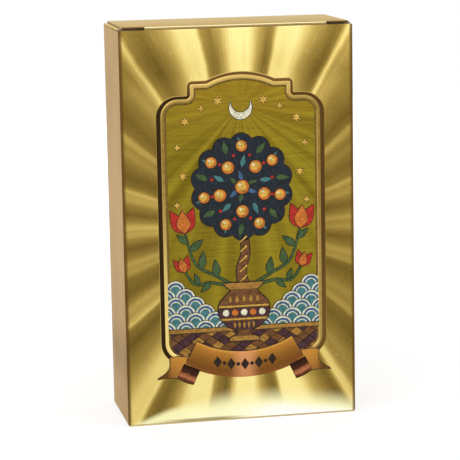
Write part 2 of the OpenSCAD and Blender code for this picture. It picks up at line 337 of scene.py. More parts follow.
def tone(r, g, b, factor=1, lift=0):
    """A colour as it shows on screen, from 0 to 255, as the shader's linear colour, made darker or paler."""
    linear = []
    for value in (r / 255, g / 255, b / 255):
        part = value / 12.92 if value <= 0.04045 else ((value + 0.055) / 1.055) ** 2.4
        linear.append(min(factor * part + lift, 1))
    return (*linear, 1)


class Value:
    """A number that a node gives for each place, to reckon with."""

    def __init__(self, nodes, socket):
        self.nodes = nodes
        self.socket = socket

    def __add__(self, other):
        return self.nodes.math("ADD", self, other)

    def __sub__(self, other):
        return self.nodes.math("SUBTRACT", self, other)

    def __rsub__(self, other):
        return self.nodes.math("SUBTRACT", other, self)

    def __mul__(self, other):
        return self.nodes.math("MULTIPLY", self, other)

    def __truediv__(self, other):
        return self.nodes.math("DIVIDE", self, other)

    def __abs__(self):
        return self.nodes.math("ABSOLUTE", self)


class Nodes:
    """Short ways to add nodes to a tree."""

    def __init__(self, tree):
        self.tree = tree

    def feed(self, socket, value):
        """Links an output, or sets a plain value."""
        source = value.socket if isinstance(value, Value) else value
        if isinstance(source, bpy.types.NodeSocket):
            self.tree.links.new(source, socket)
        else:
            socket.default_value = source

    def add(self, kind, *values, **fields):
        """Adds a node with the fields given, and feeds its first sockets with the values."""
        node = self.tree.nodes.new("ShaderNode" + kind)
        for name, value in fields.items():
            setattr(node, name, value)
        for socket, value in zip(node.inputs, values):
            self.feed(socket, value)
        return node

    def value(self, kind, *values, **fields):
        """The first output of a new node."""
        return Value(self, self.add(kind, *values, **fields).outputs[0])

    def math(self, operation, *values):
        return self.value("Math", *values, operation=operation)


class Coat(Nodes):
    """One material, with the places on its piece in millimetres and the ways to colour them."""

    def __init__(self, name, metallic=0.0, roughness=0.5, specular=0.5):
        self.material = bpy.data.materials.new(name)
        self.material.use_nodes = True
        super().__init__(self.material.node_tree)
        self.shader = self.tree.nodes["Principled BSDF"]
        self.set("Metallic", metallic)
        self.set("Roughness", roughness)
        self.set("Specular IOR Level", specular)
        coordinates = self.add("TexCoord").outputs
        scale = self.add("VectorMath", coordinates["Object"], operation="SCALE")
        scale.inputs["Scale"].default_value = 1 / MM
        self.place = scale.outputs[0]
        self.x, self.y, self.z = self.axes(self.place)
        self.facing = coordinates["Normal"]
        self.colour = tone(255, 255, 255)

    def set(self, name, value):
        self.feed(self.shader.inputs[name], value)

    def rough(self, grain, smooth, coarse, low=0.2, high=0.8):
        """Roughness that follows a grain."""
        self.set("Roughness", self.range(grain, low, high, smooth, coarse))

    def done(self, height=None, depth=0, strength=0):
        """The material in its colour, with a relief of a depth in millimetres from a height of 0 to 1."""
        self.set("Base Color", self.colour)
        if height:
            node = self.add("Bump")
            for name, value in (("Strength", strength), ("Distance", depth * MM), ("Height", height)):
                self.feed(node.inputs[name], value)
            self.set("Normal", node.outputs[0])
        return self.material

    def axes(self, vector):
        """The three parts of a vector."""
        return [Value(self, part) for part in self.add("SeparateXYZ", vector).outputs]

    def vector(self, x, y, z):
        return self.value("CombineXYZ", x, y, z)

    def range(self, value, low, high, to_low=0.0, to_high=1.0):
        """A smooth step from to_low at low to to_high at high."""
        limits = (low, high, to_low, to_high)
        return self.value("MapRange", value, *limits, interpolation_type="SMOOTHSTEP")

    def band(self, value, low, high):
        """1 between two limits, with a narrow step at each."""
        above = self.range(value, low, low + SOFT_EDGE)
        return above * self.range(value, high, high + SOFT_EDGE, 1.0, 0.0)

    def lay(self, share, r, g, b):
        """Lays a share of a screen colour over the colour so far."""
        node = self.add("Mix", share, data_type="RGBA")
        self.feed(node.inputs[6], self.colour)
        self.feed(node.inputs[7], tone(r, g, b))
        self.colour = node.outputs[2]

    def noise(self, scale, detail=2.0, vector=None):
        """Noise from 0 to 1, with so many waves a millimetre unless another vector is given."""
        node = self.add("TexNoise")
        place = self.place if vector is None else vector
        for name, value in (("Vector", place), ("Scale", scale), ("Detail", detail)):
            self.feed(node.inputs[name], value)
        return Value(self, node.outputs[0])

    def ramp(self, value, *stops):
        """Takes the colour for a value, between rising stops of a place and what tone needs."""
        node = self.add("ValToRGB", value)
        elements = node.color_ramp.elements
        for place, *colour in stops[1:-1]:
            elements.new(place).color = tone(*colour)
        for number in (0, -1):
            elements[number].position = stops[number][0]
            elements[number].color = tone(*stops[number][1:])
        self.colour = node.outputs[0]

    def curve(self, value, knots):
        """Straight stretches between knots of place and height, both from 0 to 1."""
        node = self.add("FloatCurve")
        line = node.mapping.curves[0]
        line.points[0].location = knots[0]
        line.points[1].location = knots[-1]
        for knot in knots[1:-1]:
            line.points.new(*knot)
        for point in line.points:
            point.handle_type = "VECTOR"
        node.mapping.update()
        self.feed(node.inputs["Value"], value)
        return Value(self, node.outputs[0])

    def length(self, a, b):
        """How far a point is from the origin of two axes."""
        return self.math("SQRT", a * a + b * b)

    def sway(self, value, texture, amount):
        """A value moved up and down by a texture round 0.5."""
        return value + (texture - 0.5) * amount

    def spokes(self, turn, count, along):
        """Brushed grain that runs out from a centre."""
        across = self.math("SINE", turn) * count
        up = self.math("COSINE", turn) * count
        return self.noise(1.0, 3.0, self.vector(across, up, along))

    def streaks(self, x, y, z):
        """Brushed grain, with so many streaks a millimetre along each axis."""
        parts = [part * scale for part, scale in ((self.x, x), (self.y, y), (self.z, z))]
        return self.noise(1.0, vector=self.vector(*parts))

    def inside(self, low, high):
        """How far a place is inside the edges of an upright sheet between two corners."""
        up = abs(self.z - (low.z + high.z) / 2)
        in_x = (high.x - low.x) / 2 - abs(self.x)
        in_z = (high.z - low.z) / 2 - up
        return self.math("MINIMUM", in_x, in_z)


def ray_knots():
    """The sunburst's painted shine round a full turn, as knots of turn and shine."""
    knots = []
    for ray, after in zip(RAYS, RAYS[1:] + RAYS[:1]):
        dark, first, first_shine, second, second_shine = ray
        low = dark_shine(dark)
        next_low = dark_shine(after[0])
        next_dark = after[0] + (360 if after[0] < dark else 0)
        lower = min(first_shine, second_shine)
        lean = math.sin(math.radians(dark + second))
        rise = SHARP_SHARE if lean > SHARP_LEAN else SOFT_SHARE
        fall = SHARP_SHARE if lean < -SHARP_LEAN else SOFT_SHARE
        knots += [
            (dark, low),
            (first - rise * (first - dark), low + rise * (first_shine - low)),
            (first, first_shine),
            ((first + second) / 2, lower - CREST_DIP * (1 - lower)),
            (second, second_shine),
            (second + fall * (next_dark - second), next_low + fall * (second_shine - next_low)),
        ]
    turns = sorted((angle % 360 / 360, shine) for angle, shine in knots)
    return [(0.0, 1.0)] + turns + [(1.0, 1.0)]


def dark_shine(angle):
    """How bright the darkest line of a ray is: least at the sides."""
    upright = math.cos(math.radians(angle))
    end_dark = TOP_DARK if upright > 0 else FOOT_DARK
    return SIDE_DARK + (end_dark - SIDE_DARK) * max(abs(upright) - UPRIGHT_RAY, 0) / (1 - UPRIGHT_RAY)


def sunburst_painted_reflection(coat, cloud):
    """Painted reflection of the brushed rays, as a shine from 0 to 1, and their grain."""
    right = coat.x - SUN_X
    up = coat.z - SUN_Z
    turn = coat.math("ARCTAN2", right, up)
    bent = coat.sway(turn, coat.noise(0.11), 0.02)
    shine = coat.curve(coat.math("FRACT", bent / math.tau), ray_knots())
    grain = coat.spokes(turn, SPOKES, coat.length(right, up) * 0.1)
    for texture, amount in ((grain, 0.07), (coat.noise(1.3), 0.08), (cloud, 0.14)):
        shine = coat.sway(shine, texture, amount)
    specks = coat.range(coat.noise(0.8, 1.0), 0.73, 0.8, 0.0, 0.14)
    scratches = coat.range(coat.streaks(0.12, 1.0, 3.5), 0.7, 0.8, 0.0, 0.12)
    # A painted duller band and a painted brighter top in the rays' reflection
    dull_band = coat.range(coat.z, *DULL_BAND_Z, 0.0, -0.1)
    bright_top = coat.range(coat.z, *BRIGHT_TOP_Z, 0.0, 0.13)
    for part in (specks, scratches, dull_band, bright_top):
        shine += part
    return shine, grain


def paint_foot_reflection(coat, cloud, foot_reflection):
    """Painted floor reflection at the foil's foot, sharp on the left and almost white on the right, over a
    dark line.
    """
    x = coat.x
    bow = x * (x * 0.0045 - 0.05)
    lift = coat.sway(coat.z + bow, cloud, 2.0)
    over = (lift - FOOT_REFLECTION_Z) * coat.range(x, -30, -8, 3.0, 1.0)
    coat.lay(coat.range(over, -4.0, 3.0, foot_reflection, 0.0), 255, 251, 194)
    # Painted near-white reflection, strongest on the right
    painted_blaze = coat.range(x, -6, 14, 0.2, 1.0) * coat.range(lift, 2.0, 6.5, foot_reflection, 0.0)
    coat.lay(painted_blaze, 255, 255, 252)
    line = coat.range(x, -32, -16, 0.0, 0.8) * coat.range(x, -8, 4, 1.0, 0.0)
    coat.lay(coat.range(coat.z, *FOOT_LINE_Z, foot_reflection, 0.0) * line, 132, 110, 50)


def foil_sunburst(name, foot_reflection):
    """Gold foil whose brushed rays are painted reflection. Its second argument sets how pale the painted
    floor reflection makes the foot, from 0 to 1.
    """
    coat = Coat(name, metallic=1.0)
    cloud = coat.noise(0.06)
    shine, grain = sunburst_painted_reflection(coat, cloud)
    coat.ramp(shine, (0.0, 102, 80, 30), (0.25, 146, 121, 55), (0.5, 190, 162, 85),
                (0.75, 228, 204, 121), (1.0, 253, 236, 156))
    paint_foot_reflection(coat, cloud, foot_reflection)
    # Darker toward the side creases: painted crease shade, with some crease wear
    coat.lay(coat.range(abs(coat.x), HALF_W - 1.4, HALF_W - 0.4, 0.0, 0.92), 94, 66, 28)
    coat.rough(grain, 0.24, 0.38)
    return coat.done(grain, 0.03, 0.4)


def foil_satin(name, grain_axes, dark, pale, edge_tint, dark_reflection_z=0, crease_light_and_shade=False):
    """Satin gold laminate, brushed along one axis. It may have a painted dark reflection at a height under a
    painted lighter top, or painted light and shade on its creases."""
    coat = Coat(name, metallic=1.0)
    coat.set("Specular Tint", edge_tint)
    grain = coat.streaks(*grain_axes)
    shade = coat.sway(grain * 0.7, coat.noise(0.05), 0.35)
    if dark_reflection_z:
        near = abs(coat.z - dark_reflection_z)
        # Painted dark reflection round a height, and painted light toward the top
        shade -= coat.range(near, 0, DARK_REFLECTION_REACH, 0.24, 0.0)
        shade += coat.range(coat.z, *PAINTED_LIGHT_TOP_Z, 0.0, 0.12)
    coat.ramp(shade, (0.0, *dark), (0.6, *pale))
    if crease_light_and_shade:
        paint_crease_light_and_shade(coat)
    coat.rough(grain, 0.34, 0.48)
    return coat.done(grain, 0.02, 0.5)


def paint_crease_light_and_shade(coat):
    """Painted light and shade on the lid's creases: a painted highlight where the board turns down, and
    painted shade over the raw board at the front one's cut ends, which are dark.
    """
    facing = coat.axes(coat.facing)
    # Painted highlight on the rounded creases
    coat.lay(coat.range(abs(facing[2]), 0.35, 0.95, 0.95, 0.0), 255, 240, 182)
    # Painted shade over the raw cut ends of the front crease
    slit = LID_HIGH.x - SLIT_LEN
    cut = coat.range(abs(coat.x), slit - 0.3, slit + 0.1)
    coat.lay(cut * coat.range(facing[1], -0.6, -0.2, 0.95, 0.0), 88, 50, 32)


def pale_board(name, colour):
    """Uncoated board: pale, matt and a little fibrous."""
    coat = Coat(name, roughness=0.85, specular=0.25)
    fibre = coat.noise(2.5, 5.0)
    coat.ramp(fibre, (0.3, *colour, 0.72), (0.62, *colour))
    return coat.done(fibre, 0.04, 0.6)


def printed(name, colour, metallic=0.35, hatch=0.07):
    """Ink on foil, mottled and with a fine engraved hatch."""
    coat = Coat(name, metallic=metallic, specular=0.25)
    mottle = coat.noise(1.1, 4.0)
    slant = coat.z + coat.x * 0.5
    lines = coat.math("SINE", slant * HATCH_RATE)
    shade = mottle + lines * hatch
    coat.ramp(shade, (0.25, *colour, 0.5), (0.5, *colour), (0.75, *colour, 1.3, 0.01))
    coat.rough(mottle, 0.3, 0.48, 0.3, 0.7)
    return coat.done(shade, 0.02, 0.4)


def shadow_ink():
    """Printed dark line outside the frame, with painted shade: deepest on the left, paler on the right and
    along the top.
    """
    coat = Coat("frame_shadow_line", metallic=0.7, specular=0.2)
    mottle = coat.noise(0.8, 3.0)
    coat.colour = tone(48, 32, 6)
    coat.lay(coat.sway(coat.range(coat.x, -14, 26), mottle, 0.3), 82, 57, 18)
    low_right = coat.range(coat.x, 0, 14) * coat.range(coat.z, 28, 66, 0.45, 0.0)
    coat.lay(low_right, 126, 98, 44)
    coat.lay(coat.range(coat.z, SHOULDER_Z - 1, LEDGE_Z, 0.0, 0.8), 116, 82, 40)
    coat.rough(mottle, 0.3, 0.44, 0.3, 0.7)
    return coat.done(mottle, 0.02, 0.3)


def sky_ink():
    """Olive gold ground of the picture, with faint rays from its crown and a warmer top."""
    coat = Coat("ink_sky", metallic=0.85, specular=0.25)
    right = coat.x - ORNAMENT_X
    up = coat.z - SKY_RAYS_Z
    ray = coat.spokes(coat.math("ARCTAN2", right, up), 9.0, 0.0)
    grain = coat.streaks(0.12, 1.0, 2.2)
    shade = ray * 0.65 + grain * 0.35
    coat.ramp(shade, (0.35, 106, 89, 16), (0.65, 149, 131, 34))
    coat.lay(coat.range(coat.z, 82, CROWN_Z, 0.0, 0.35), 166, 126, 38)
    coat.rough(grain, 0.3, 0.45)
    return coat.done(shade, 0.03, 0.4)


def ridge_foil():
    """Beige gold of the raised frame, paler along the top and low on the left, with a painted highlight on
    the slopes that face up or to the left."""
    coat = Coat("frame_gold", metallic=1.0)
    grain = coat.noise(0.5)
    coat.ramp(grain, (0.3, 126, 98, 42), (0.7, 151, 121, 58))
    coat.lay(coat.range(coat.z, SHOULDER_Z - 5, LEDGE_Z, 0.0, 0.9), 204, 173, 98)
    low = coat.range(coat.z, 22, 84, 0.8, 0.0) * coat.range(coat.x, -8, 14, 1.0, 0.2)
    coat.lay(low, 248, 222, 138)
    facing = coat.axes(coat.facing)
    # Painted highlight on the slopes that face up or to the left
    painted_highlight = coat.range(facing[2] - facing[0], 0.35, 0.75, 0.0, 0.55)
    coat.lay(painted_highlight, 234, 203, 124)
    coat.rough(grain, 0.34, 0.44)
    return coat.done(coat.noise(6.0), 0.01, 0.3)


def ribbon_ink(name, middle, reach, *stops):
    """Copper ink of the ribbon, with a painted sheen at its centre and painted shade on the tail tips.
    middle is the colour of the painted sheen, and stops give its colours across the band, from 0 at the
    upper edge to 1 at the lower and on to reach beyond it."""
    coat = Coat(name, metallic=0.75, specular=0.25)
    right = coat.x - ORNAMENT_X
    up = coat.z - RIBBON_Z
    across = coat.length(right, up) - (RIBBON_R - RIBBON_H)
    grain = coat.noise(1.2, 3.0)
    share = coat.sway(across / (RIBBON_H * reach), grain, 0.1)
    coat.ramp(share, *[(place / reach, *colour) for place, *colour in stops])
    aside = abs(right)
    # Painted sheen at the middle of the ribbon
    coat.lay(coat.range(aside, 0.3, 5.5, 0.8, 0.0), *middle)
    # Painted shade on the tail tips
    coat.lay(coat.range(aside, 23.0, 25.4, 0.0, 0.88), 92, 60, 22)
    coat.rough(grain, 0.28, 0.42)
    return coat.done(grain, 0.02, 0.3)


def card_foil():
    """Gold card: gilt edges, and on its faces a border line and a lattice."""
    coat = Coat("card_foil", metallic=0.9)
    grain = coat.streaks(0.02, 3.3, 0.02)
    coat.ramp(grain, (0.3, 160, 126, 54), (0.7, 228, 198, 118))
    inside = coat.inside(CARD_LOW, CARD_HIGH)
    rising = coat.math("SINE", (coat.x + coat.z) * LATTICE_RATE)
    falling = coat.math("SINE", (coat.x - coat.z) * LATTICE_RATE)
    lattice = coat.range(abs(rising * falling), 0.08, 0.3, 0.75, 0.0)
    field = lattice * coat.range(inside, 4.4, 4.6)
    inked = coat.math("MAXIMUM", field, coat.band(inside, 3.2, 3.8))
    face = coat.range(abs(coat.axes(coat.facing)[1]), 0.4, 0.6)
    inked *= face
    coat.lay(inked, 74, 48, 22)
    coat.rough(grain, 0.26, 0.4)
    return coat.done(inked, 0.03, 0.5)


def booklet_cover():
    """Booklet cover: cream card with a gold border."""
    coat = Coat("booklet_cover", roughness=0.55)
    fibre = coat.noise(2.0, 4.0)
    coat.ramp(fibre, (0.3, 206, 190, 150), (0.7, 232, 220, 186))
    coat.lay(coat.band(coat.inside(BOOK_LOW, BOOK_HIGH), 4.0, 5.2), 150, 112, 46)
    return coat.done(fibre, 0.03, 0.4)


def booklet_paper():
    """Block of thin pages, with the lines of the sheets at its edges."""
    coat = Coat("booklet_paper", roughness=0.8, specular=0.25)
    sheets = coat.streaks(0.05, 14.0, 0.05)
    coat.ramp(sheets, (0.35, 196, 184, 156), (0.6, 238, 230, 210))
    return coat.done(sheets, 0.05, 0.6)


def staple_wire():
    """Bright galvanised wire."""
    coat = Coat("staple_wire", metallic=1.0)
    grain = coat.streaks(6.0, 6.0, 0.6)
    coat.ramp(grain, (0.3, 150, 152, 156), (0.7, 206, 208, 212))
    coat.rough(grain, 0.22, 0.4)
    return coat.done()


GRAIN_UP = (5.0, 5.0, 0.02)
GRAIN_ACROSS = (0.03, 3.0, 3.0)
GOLD_TINT = tone(236, 220, 178)
BEIGE_TINT = tone(238, 226, 204)
SUNBURST = foil_sunburst("foil_sunburst", 0.95)
SUNBURST_BACK = foil_sunburst("foil_sunburst_back", 0.0)
SATIN = foil_satin("foil_satin", GRAIN_UP, (144, 110, 66), (200, 168, 121), BEIGE_TINT, DARK_REFLECTION_Z)
PLAIN = foil_satin("foil_plain", GRAIN_ACROSS, (184, 156, 100), (226, 204, 148), GOLD_TINT)
LID = foil_satin("foil_lid", GRAIN_ACROSS, (152, 126, 82), (190, 167, 122), GOLD_TINT, crease_light_and_shade=True)
INSIDE = pale_board("board_inside", (226, 216, 196))
CORE = pale_board("board_core", (190, 168, 132))


# Boards of the carton

OUTER, CUT, INNER = range(3)


def slab(outline, place):
    """A flap of board. place gives the points of an outline at a depth below the outer face."""
    inset = grown(outline, -EDGE_BEVEL)
    sheets = ((inset, 0), (outline, EDGE_BEVEL), (outline, BOARD_T - EDGE_BEVEL), (inset, BOARD_T))
    shape = Shape()
    shape.rings([place(*sheet) for sheet in sheets], CUT, ends=(OUTER, INNER))
    return shape


def board_section(half_w, corner_r):
    """Section of a board from crease to crease: places along it and depths below its outer face,
    with a pressed groove beside each crease."""
    flat = half_w - corner_r
    groove = flat - GROOVE_IN
    turn = [(corner_r + a - half_w, d) for a, d in arc(0, corner_r, corner_r, 180, 270, CREASE_STEPS)]
    left = [(-half_w, BOARD_T)] if corner_r < BOARD_T else []
    left += turn
    left += [(-groove - GROOVE_W, 0), (-groove, GROOVE_DEPTH), (GROOVE_W - groove, 0), (-flat / 2, 0)]
    return left + [(0, 0)] + [(-a, d) for a, d in reversed(left)]


def creased_board(name, node, half_w, corner_r, ends, place, foil, slot):
    """A board of the carton between two creases, run from ends[0] to ends[1]. place maps a place along
    the section, a depth and a place along the run to a point."""
    section = board_section(half_w, corner_r)
    start, end = ends
    stations = [(start, EDGE_BEVEL, 0), (start + EDGE_BEVEL, 0, 0), (start + GROOVE_IN, 0, GROOVE_DEPTH),
                (start + 2 * GROOVE_IN, 0, 0), ((start + end) / 2, 0, 0), (end - 2 * GROOVE_IN, 0, 0),
                (end - GROOVE_IN, 0, GROOVE_DEPTH), (end - EDGE_BEVEL, 0, 0), (end, EDGE_BEVEL, 0)]
    middle = BOARD_T / 2
    rings = []
    for run, shrink, dip in stations:
        squeeze = 1 - 2 * shrink / BOARD_T
        ring = []
        for along, depth in section:
            sunk = depth + dip if abs(along) < half_w - corner_r and depth < middle else depth
            ring.append(place(along * (1 - shrink / half_w), middle + (sunk - middle) * squeeze, run))
        rings.append(ring)
    last = len(section) - 1
    shape = Shape()
    shape.rings(rings, lambda strip, column: INNER if column == last else OUTER, ends=(CUT, CUT))
    shape.piece(name, (foil, CORE, INSIDE), "carton", slot, node)


def front_and_back():
    """Front and back panels, creased round at the sides."""
    creased_board("front_board", "front_panel", HALF_W, BOARD_T, (FRONT_LOW.z, FRONT_HIGH.z),
                  lambda along, depth, run: (along, FACE_Y + depth, run), SUNBURST, "foil_sunburst")
    creased_board("back_board", "back_panel", HALF_W, BOARD_T, (BACK_LOW.z, BACK_HIGH.z),
                  lambda along, depth, run: (along, BACK_HIGH.y - depth, run), SUNBURST_BACK, "foil_plain")


def sides():
    """Side panels, between the creases of the front and the back."""
    middle = (SIDE_LOW.y + SIDE_HIGH.y) / 2
    half_w = (SIDE_HIGH.y - SIDE_LOW.y) / 2
    for name, side in (("left", -1), ("right", 1)):
        def place(along, depth, run):
            return side * (SIDE_HIGH.x - depth), middle + along, run

        creased_board(name + "_side_board", name + "_side_panel", half_w, EDGE_BEVEL,
                      (SIDE_LOW.z, SIDE_HIGH.z), place, SATIN, "foil_satin")


def bottom():
    """Bottom outer flap, creased to the front and the back."""
    middle = (BOTTOM_LOW.y + BOTTOM_HIGH.y) / 2
    half_w = (BOTTOM_HIGH.y - BOTTOM_LOW.y) / 2
    creased_board("bottom_board", "bottom_outer_flap", half_w, BOARD_T, (BOTTOM_LOW.x, BOTTOM_HIGH.x),
                  lambda along, depth, run: (run, middle + along, depth), PLAIN, "foil_plain")


def lid():
    """Lid between its two creases, which are rolled into beads."""
    section = arc(LID_LOW.y + BEAD_R, LID_Z, BEAD_R, 270, 90, BEAD_STEPS)
    section += arc(LID_HIGH.y - BEAD_R, LID_Z, BEAD_R, 90, -90, BEAD_STEPS)
    underside = len(section) - 1
    rings = []
    for x, squeeze in ((LID_LOW.x, EDGE_BEVEL), (LID_LOW.x + EDGE_BEVEL, 0), (0, 0),
                       (LID_HIGH.x - EDGE_BEVEL, 0), (LID_HIGH.x, EDGE_BEVEL)):
        rings.append([(x, y, LID_Z + (z - LID_Z) * (1 - squeeze / BEAD_R)) for y, z in section])
    shape = Shape()
    shape.rings(rings, lambda strip, column: INNER if column == underside else OUTER, ends=(CUT, CUT))
    shape.piece("lid_board", (LID, CORE, INSIDE), "lid", "foil_plain", "lid_panel")


def tuck():
    """Tuck flap, which leans in from the lid's front crease and has a slit at each end."""
    axis_y = LID_LOW.y + BEAD_R
    neck = -BEAD_R * math.cos(math.asin(BOARD_T / 2 / BEAD_R))
    shoulder = -BEAD_R - CREASE_GAP - SLIT_H
    half_w = LID_HIGH.x
    half = arc(half_w - TUCK_CORNER_R, TUCK_CORNER_R - TUCK_LEN, TUCK_CORNER_R, -90, 0)
    half += [(half_w, shoulder), (half_w - SLIT_LEN, shoulder), (half_w - SLIT_LEN, neck)]
    s = math.sin(math.radians(TUCK_LEAN))
    c = math.cos(math.radians(TUCK_LEAN))

    def place(outline, depth):
        y = depth - BOARD_T / 2
        return [(x, axis_y + y * c - z * s, LID_Z + y * s + z * c) for x, z in outline]

    shape = slab(mirrored(half), place)
    shape.piece("tuck_board", (PLAIN, CORE, INSIDE), "tuck", "foil_plain", "tuck_flap")


def dust_flaps():
    """Top dust flaps with their rolled creases."""
    axis_z = (DUST_LOW.z + DUST_HIGH.z) / 2
    axis_x = DUST_HIGH.x - BEAD_R
    y0, y1 = DUST_LOW.y, DUST_HIGH.y
    tip_x = DUST_LOW.x
    outline = [(axis_x, y0), (axis_x, y1), (tip_x, y1 - DUST_BACK_TAPER), (tip_x, y0 + DUST_FRONT_TAPER)]
    bead = circle(axis_x, axis_z, BEAD_R, 2 * BEAD_STEPS)
    for name, side in (("left", -1), ("right", 1)):
        def place(points, depth):
            return [(side * x, y, axis_z + BOARD_T / 2 - depth) for x, y in points]

        shape = slab(outline, place)
        shape.rings([[(side * x, y, z) for x, z in bead] for y in (y0, y1)], OUTER, ends=(CUT, CUT))
        shape.piece(name + "_dust_board", (PLAIN, CORE, INSIDE), name + "_dust_flap", "foil_plain",
                    "top_dust_flap_" + name)


# Ornament of the front

# Across the frame: inset along the sides, inset along the top, and height
RIDGE_PROFILE = [
    (-0.82, -0.6, 0.0), (-0.78, -0.55, 0.03), (-0.74, -0.38, 0.04), (0.2, 0.1, 0.02), (0.6, 0.48, 0.18),
    (0.78, 0.66, 0.33), (0.95, 0.85, 0.39), (1.15, 1.08, 0.4), (1.36, 1.3, 0.36), (1.56, 1.52, 0.25),
    (1.72, 1.68, 0.1), (1.8, 1.76, 0.05), (2.36, 2.25, 0.05), (2.42, 2.32, 0.0),
]
RIM_STRIPS = 2
DARK_STRIPS = 2
GOLD_STRIPS = 6
TOP_START_Z = SHOULDER_Z - 4
TOP_BLEND = 5
SINK_H = 1.6
SUNK_SHARE = 0.25


def front_frame():
    """Raised bracket frame between two printed lines, the outer one with painted shade. It sinks where the
    ribbon crosses it.
    """
    rings = []
    for side_inset, inset, height in RIDGE_PROFILE:
        ring = []
        for (x0, z0), (x1, z1) in zip(frame_outline(side_inset), frame_outline(inset)):
            share = min(max((z0 - TOP_START_Z) / TOP_BLEND, 0), 1)
            x = x0 + share * (x1 - x0)
            z = z0 + share * (z1 - z0)
            rise = min(max((z - FRAME_LOW_Z - inset) / SINK_H, SUNK_SHARE), 1)
            ring.append((x + ORNAMENT_X, FACE_Y - height * rise, z))
        rings.append(ring)
    for inset in (RIDGE_PROFILE[-1][0], RIDGE_PROFILE[0][0]):
        rings.append(on_front(frame_outline(inset), ROOT))

    def finish(strip, column):
        if RIM_STRIPS <= strip < RIM_STRIPS + DARK_STRIPS:
            return 1
        return 0 if strip < RIM_STRIPS + DARK_STRIPS + GOLD_STRIPS else 2

    shape = Shape()
    shape.rings(rings, finish)
    inner_line = printed("frame_inner_line", (116, 91, 34), 0.6, 0.02)
    shape.piece("front_frame", (ridge_foil(), shadow_ink(), inner_line), "carton", "foil_sunburst")


def around(r, angle):
    """A point at a distance from the ribbon's centre, at an angle from straight down."""
    a = math.radians(angle)
    return r * math.sin(a), RIBBON_Z - r * math.cos(a)


BAND_PROFILE = [(0.0, ROOT), (0.0, 0.14), (0.28, 0.24), (0.9, 0.33), (2.4, 0.41), (4.3, 0.44),
                (6.2, 0.41), (7.7, 0.33), (8.32, 0.24), (8.6, 0.14), (8.6, ROOT)]
BAND_STEPS = 40
BAND_LINE = 0.28
BAND_END_SINK = 0.12
MARK_ANGLE = 3.6
MARK_RELIEF = 0.45
BAND, RIBBON_LINE, TAIL, FOLD = range(4)


def ribbon_band(shape):
    """Curved band with a dark line round it."""
    end = math.degrees(BAND_LINE / RIBBON_R)
    inner = RIBBON_ANGLE - end
    angles = [inner * (2 * i / BAND_STEPS - 1) for i in range(BAND_STEPS + 1)]
    angles = [-RIBBON_ANGLE] + angles + [RIBBON_ANGLE]
    rings = []
    for angle in angles:
        sink = BAND_END_SINK if abs(angle) == RIBBON_ANGLE else 0
        ring = []
        for drop, height in BAND_PROFILE:
            x, z = around(RIBBON_R - drop, angle)
            ring.append((x + ORNAMENT_X, FACE_Y - max(height - sink, ROOT), z))
        rings.append(ring)
    last = len(angles) - 2

    def finish(strip, column):
        at_edge = column > len(BAND_PROFILE) - 4
        return RIBBON_LINE if at_edge or strip in (0, last) else BAND

    shape.rings(rings, finish, ends=(RIBBON_LINE, RIBBON_LINE))


def ribbon_marks(shape):
    """A plain row of lozenges and dots along the band."""
    for number in range(-4, 5):
        x, z = around(RIBBON_R - RIBBON_H / 2, number * MARK_ANGLE)
        if number % 2:
            mark = circle(x, z, 0.6, 12)
        else:
            mark = [(x - 1.4, z), (x, z - 1.9), (x + 1.4, z), (x, z + 1.9)]
        raised(shape, mark, MARK_RELIEF, RIBBON_LINE, 0.01)


def ribbon_ends(shape):
    """Folds behind the band, and the swallow tails."""
    fold_x = RIBBON_HALF_W - FOLD_W
    fold_z = RIBBON_Z - math.sqrt(RIBBON_R ** 2 - fold_x ** 2)
    fold = [(RIBBON_HALF_W, BAND_CORNER_Z + 0.3), (fold_x, fold_z + 0.3)]
    fold += curve([(fold_x + FOLD_SLANT, fold_z - FOLD_DROP),
                   (fold_x + FOLD_SLANT + FOLD_W / 2, (fold_z + BAND_CORNER_Z) / 2 - FOLD_DROP - 0.25),
                   (RIBBON_HALF_W + FOLD_SLANT, BAND_CORNER_Z - FOLD_DROP)], 4)
    tail = [(-FOLD_SLANT, TAIL_RISE), (NOTCH_W * 0.5, TAIL_RISE + 0.25), (NOTCH_W, TAIL_RISE)]
    tail += curve([(NOTCH_W - 0.15, -NOTCH_DROP), (NOTCH_W + 1.3, -0.62 * FOLD_DROP),
                   (TIP_W, -FOLD_DROP)], 5)
    tail += curve([(NOTCH_W + 1.2, -FOLD_DROP + 0.35), (FOLD_SLANT, -FOLD_DROP)], 4)
    tail.append((-FOLD_SLANT, -NOTCH_DROP))
    tail = [(x + RIBBON_HALF_W, z + BAND_CORNER_Z) for x, z in tail]
    for side in (1, -1):
        raised(shape, grown(flipped(tail, side), 0.22), TAIL_RELIEF - 0.06, RIBBON_LINE)
        raised(shape, flipped(tail, side), TAIL_RELIEF, TAIL)
        raised(shape, grown(flipped(fold, side), 0.12), TAIL_RELIEF + 0.01, RIBBON_LINE, 0.01)
        raised(shape, flipped(fold, side), TAIL_RELIEF + 0.03, FOLD)


def front_ribbon():
    """Ribbon across the foot of the frame."""
    shape = Shape()
    ribbon_band(shape)
    ribbon_marks(shape)
    ribbon_ends(shape)
    band = ribbon_ink("ribbon_band", (222, 152, 100), 1.0, (0.0, 214, 158, 68), (0.14, 178, 120, 44),
                      (0.45, 145, 95, 33), (0.8, 122, 75, 27), (1.0, 140, 84, 40))
    tail = ribbon_ink("ribbon_tail", (190, 130, 60), 1.7, (0.5, 150, 98, 38), (0.85, 196, 138, 56),
                      (1.2, 182, 124, 50), (1.6, 150, 100, 42))
    fold = ribbon_ink("ribbon_fold", (90, 50, 30), 1.7, (1.0, 44, 22, 12), (1.22, 72, 38, 22),
                      (1.38, 190, 118, 76), (1.46, 112, 62, 36), (1.55, 70, 36, 20))
    line = printed("ribbon_line", (44, 28, 16), 0.3, 0.05)
    shape.piece("front_ribbon", (band, line, tail, fold), "carton", "foil_sunburst")


# Picture in the frame: a fruit tree in an urn, between tulips, under a crescent

